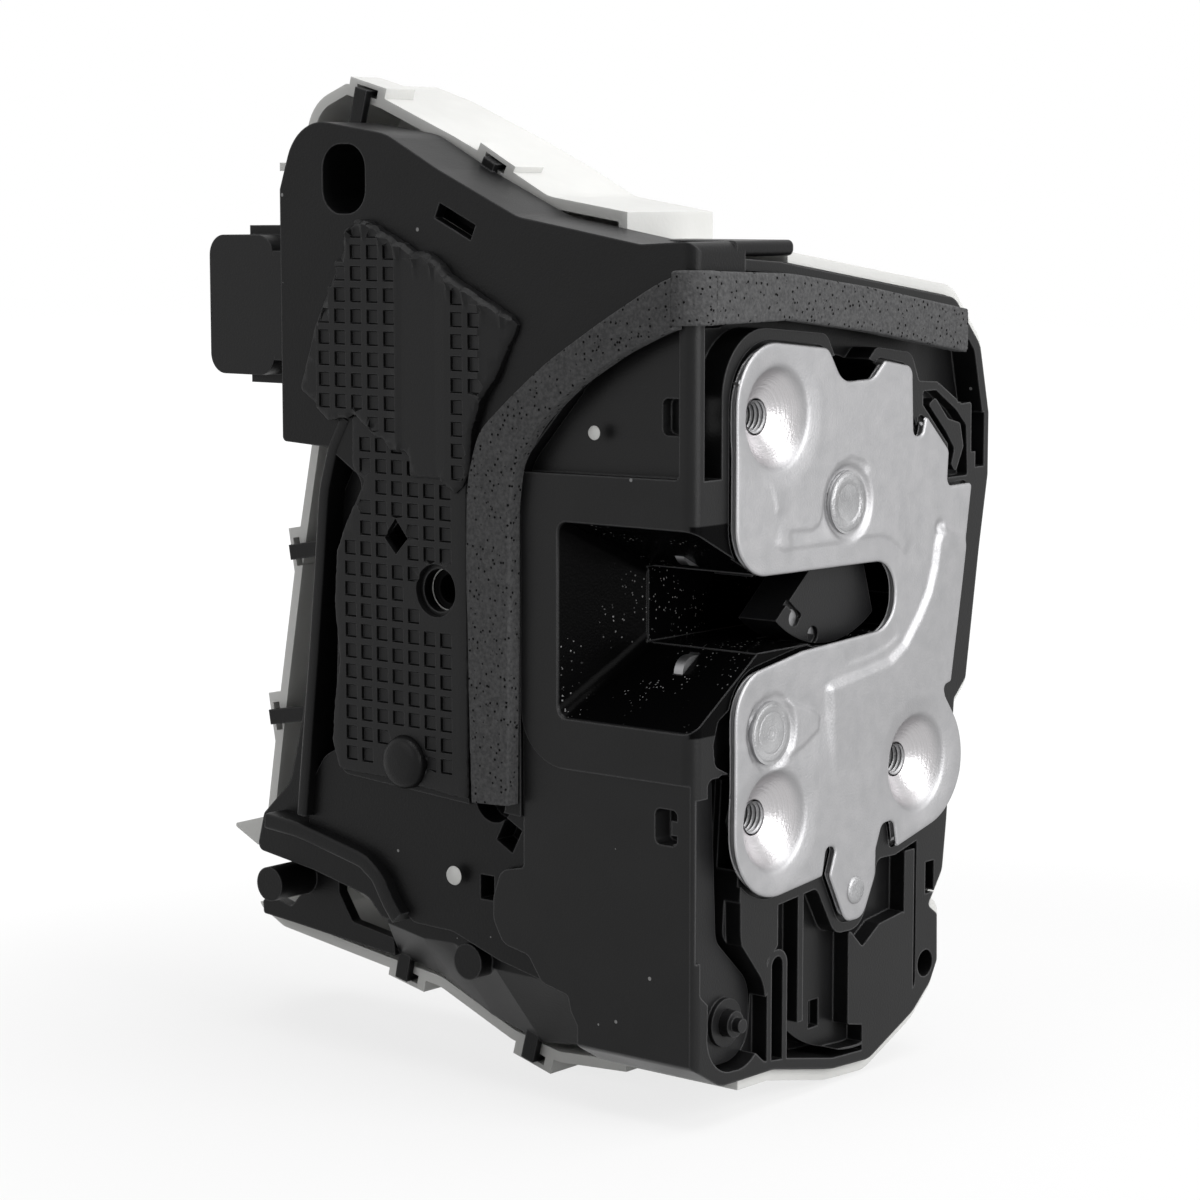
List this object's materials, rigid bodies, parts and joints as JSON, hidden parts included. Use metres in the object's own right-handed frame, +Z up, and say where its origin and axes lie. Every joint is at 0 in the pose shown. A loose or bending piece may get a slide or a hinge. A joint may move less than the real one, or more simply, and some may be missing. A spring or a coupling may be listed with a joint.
{
  "type": "door latch actuator",
  "caption": "Vehicle door latch with a steel face plate, swinging claw and pawl, release levers, worm-driven lock wheel, moulded covers and a cable socket.",
  "frame": {"origin": "seat of the striker's axis in the slot, on the outer face of the steel plate", "axes": "+X out of the steel plate towards the door post, the striker enters along +Y, +Z up"},
  "size_m": [0.1332, 0.0981, 0.1866],
  "materials": {
    "zinc_plate": "bright zinc, fine grain",
    "rivet_steel": "turned zinc",
    "inner_steel": "rolled, plain zinc",
    "spring_steel": "drawn wire",
    "claw_plastic": "satin moulded",
    "housing_plastic": "semi-gloss moulded, glass filled",
    "cover_plastic": "fine spark texture",
    "pad_rubber": "embossed squares",
    "foam": "open cell foam",
    "white_nylon": "satin natural nylon",
    "connector_plastic": "fine matt",
    "blade_metal": "tinned brass",
    "motor_steel": "zinc can",
    "gear_plastic": "acetal",
    "bumper_rubber": "plain",
    "screw_steel": "zinc"
  },
  "bodies": {
    "latch_case": {"face_plate": "zinc_plate", "claw_pin": "rivet_steel", "pawl_pin": "rivet_steel", "tab_rivet": "rivet_steel", "back_plate": "inner_steel", "claw_spring": "spring_steel", "pawl_spring": "spring_steel", "lever_pin": "rivet_steel", "latch_housing": "housing_plastic", "striker_bumper": "bumper_rubber", "side_cover": "cover_plastic", "damping_pad": "pad_rubber", "foam_seal": "foam", "rear_cover": "white_nylon", "lock_motor": "motor_steel", "connector_shell": "connector_plastic", "connector_blades": "blade_metal", "cover_screws": "screw_steel"},
    "claw": {"claw_core": "inner_steel", "claw_jacket": "claw_plastic"},
    "pawl": {"pawl_core": "inner_steel", "pawl_jacket": "claw_plastic"},
    "outside_lever": {"outside_release_lever": "inner_steel"},
    "inside_lever": {"inside_release_lever": "gear_plastic"},
    "wheel": {"worm_wheel": "gear_plastic"},
    "worm": {"worm_shaft": "inner_steel"},
    "lock_arm": {"lock_lever": "gear_plastic"}
  },
  "joints": [
    {"name": "claw_turn", "type": "hinge", "parent": "latch_case", "child": "claw", "pos_m": [-0.0088, -0.0082, 0.018], "axis": [1, 0, 0], "range_deg": [0, 75], "stiffness_Nm_per_rad": 0.12},
    {"name": "outside_release_turn", "type": "hinge", "parent": "latch_case", "child": "outside_lever", "pos_m": [-0.0063, -0.0395, -0.073], "axis": [1, 0, 0], "range_deg": [-7, 0], "stiffness_Nm_per_rad": 0.06},
    {"name": "pawl_turn", "type": "hinge", "parent": "latch_case", "child": "pawl", "pos_m": [-0.0088, -0.0313, -0.0214], "axis": [1, 0, 0], "range_deg": [-10, 0], "stiffness_Nm_per_rad": 0.08},
    {"name": "inside_release_turn", "type": "hinge", "parent": "latch_case", "child": "inside_lever", "pos_m": [-0.088, -0.0328, -0.04], "axis": [0, 1, 0], "range_deg": [0, 25], "stiffness_Nm_per_rad": 0.03},
    {"name": "wheel_turn", "type": "hinge", "parent": "latch_case", "child": "wheel", "pos_m": [-0.056, -0.0275, 0.02], "axis": [0, 1, 0], "range_deg": [0, 90]},
    {"name": "worm_spin", "type": "hinge", "parent": "latch_case", "child": "worm", "pos_m": [-0.06, -0.0275, 0.04195], "axis": [1, 0, 0], "range_deg": [-10, 3250]},
    {"name": "lock_lever_turn", "type": "hinge", "parent": "latch_case", "child": "lock_arm", "pos_m": [-0.066, -0.0208, -0.024], "axis": [0, 1, 0], "range_deg": [-18, 0]}
  ],
  "couplings": [
    {"joint": "pawl_turn", "follows": "outside_release_turn", "ratio": 1.4},
    {"joint": "worm_spin", "follows": "wheel_turn", "ratio": 36},
    {"joint": "lock_lever_turn", "follows": "wheel_turn", "ratio": -0.2}
  ]
}
